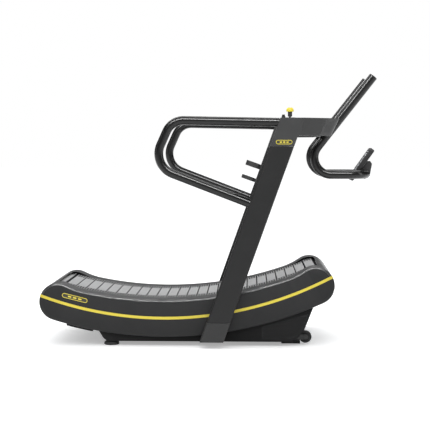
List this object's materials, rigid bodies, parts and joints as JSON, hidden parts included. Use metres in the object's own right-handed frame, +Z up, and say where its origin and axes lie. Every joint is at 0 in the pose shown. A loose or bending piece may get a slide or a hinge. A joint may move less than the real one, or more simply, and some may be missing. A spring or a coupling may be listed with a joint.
{
  "type": "curved manual treadmill",
  "caption": "Motorless treadmill with a curved slat belt, leaning uprights, looped side handrails and a raised push handle with a small display.",
  "frame": {"origin": "middle of the machine's box, on the floor", "axes": "+X the way the runner faces, +Y to the runner's left, +Z up"},
  "size_m": [1.9441, 0.8424, 1.5607],
  "materials": {
    "casing": "dark grey satin moulding",
    "rail": "mid grey satin moulding",
    "stripe": "yellow inlay strip",
    "slat": "black anodised extrusion",
    "pad": "light grey ribbed tread rubber",
    "tread": "black ribbed tread rubber",
    "belt": "black reinforced belt",
    "drum": "turned aluminium",
    "axle": "ground steel",
    "zinc": "zinc plated steel",
    "roller": "black nylon rollers",
    "frame_paint": "black powder coat",
    "tub": "black grained moulding",
    "mesh": "black perforated insert",
    "foot": "black rubber",
    "upright": "dark grey satin paint",
    "shoe": "grey satin paint",
    "head": "dark grey satin paint on casting",
    "tube": "black gloss paint",
    "console": "black fine-textured moulding",
    "glass": "black display window",
    "holder": "black moulding",
    "knob": "yellow moulding",
    "button": "black moulding",
    "badge": "yellow blank plate",
    "magnet": "cast aluminium carrier"
  },
  "bodies": {
    "frame": {"side_panel_left": "casing", "side_panel_right": "casing", "foot_rail_left": "rail", "foot_rail_right": "rail", "side_stripes": "stripe", "rear_cover": "rail", "front_cover": "rail", "slat_bars": "slat", "slat_pads": "pad", "slat_treads": "tread", "drive_belts": "belt", "axle_bearings": "zinc", "guide_rollers_left": "roller", "guide_rollers_right": "roller", "roller_pins": "zinc", "side_plate_left": "zinc", "side_plate_right": "zinc", "cross_tubes": "zinc", "brake_pin": "axle", "base_frame": "frame_paint", "base_tub": "tub", "vent_panel_left": "mesh", "vent_panel_right": "mesh", "under_plate": "tub", "rear_feet": "foot", "front_pads": "foot", "wheel_brackets": "frame_paint", "wheel_axles": "frame_paint", "upright_left": "upright", "upright_right": "upright", "upright_shoe_left": "shoe", "upright_shoe_right": "shoe", "head_left": "head", "head_right": "head", "front_crossbar": "head", "handrail_left": "tube", "handrail_right": "tube", "push_handle": "tube", "handle_caps": "button", "console_case": "console", "console_window": "glass", "console_bracket": "console", "bottle_ring": "holder", "bottle_tray": "holder", "lever_pin": "axle", "lever_gate": "button", "button_collar": "button", "deck_badges": "badge", "head_badges": "badge"},
    "front_drum_unit": {"front_drum": "drum", "front_axle": "axle", "brake_disc": "drum"},
    "rear_drum_unit": {"rear_drum": "drum", "rear_axle": "axle"},
    "caliper": {"brake_caliper": "magnet"},
    "lever": {"selector_lever": "button", "selector_knob": "knob"},
    "button": {"push_button": "button"},
    "wheel_left": {"transport_wheel_left": "foot"},
    "wheel_right": {"transport_wheel_right": "foot"}
  },
  "joints": [
    {"name": "front_drum_spin", "type": "hinge", "parent": "frame", "child": "front_drum_unit", "pos_m": [0.61292, 0, 0.3506], "axis": [0, 1, 0], "continuous": true},
    {"name": "rear_drum_spin", "type": "hinge", "parent": "frame", "child": "rear_drum_unit", "pos_m": [-0.86403, 0, 0.25211], "axis": [0, 1, 0], "continuous": true},
    {"name": "caliper_swing", "type": "hinge", "parent": "frame", "child": "caliper", "pos_m": [0.4825, 0.288, 0.287], "axis": [0, 1, 0], "range_deg": [-8, 8]},
    {"name": "lever_tilt", "type": "hinge", "parent": "frame", "child": "lever", "pos_m": [0.4603, -0.3925, 1.24], "axis": [0, 1, 0], "range_deg": [-10, 10]},
    {"name": "button_press", "type": "slide", "parent": "frame", "child": "button", "axis": [0, 0, -1], "range_m": [0, 0.003], "stiffness_N_per_m": 300, "springref_m": -0.0008},
    {"name": "wheel_left_spin", "type": "hinge", "parent": "frame", "child": "wheel_left", "pos_m": [0.5595, 0.262, 0.046], "axis": [0, 1, 0], "continuous": true},
    {"name": "wheel_right_spin", "type": "hinge", "parent": "frame", "child": "wheel_right", "pos_m": [0.5595, -0.262, 0.046], "axis": [0, 1, 0], "continuous": true}
  ],
  "couplings": [
    {"joint": "rear_drum_spin", "follows": "front_drum_spin", "ratio": 1},
    {"joint": "lever_tilt", "follows": "caliper_swing", "ratio": 1.25}
  ]
}
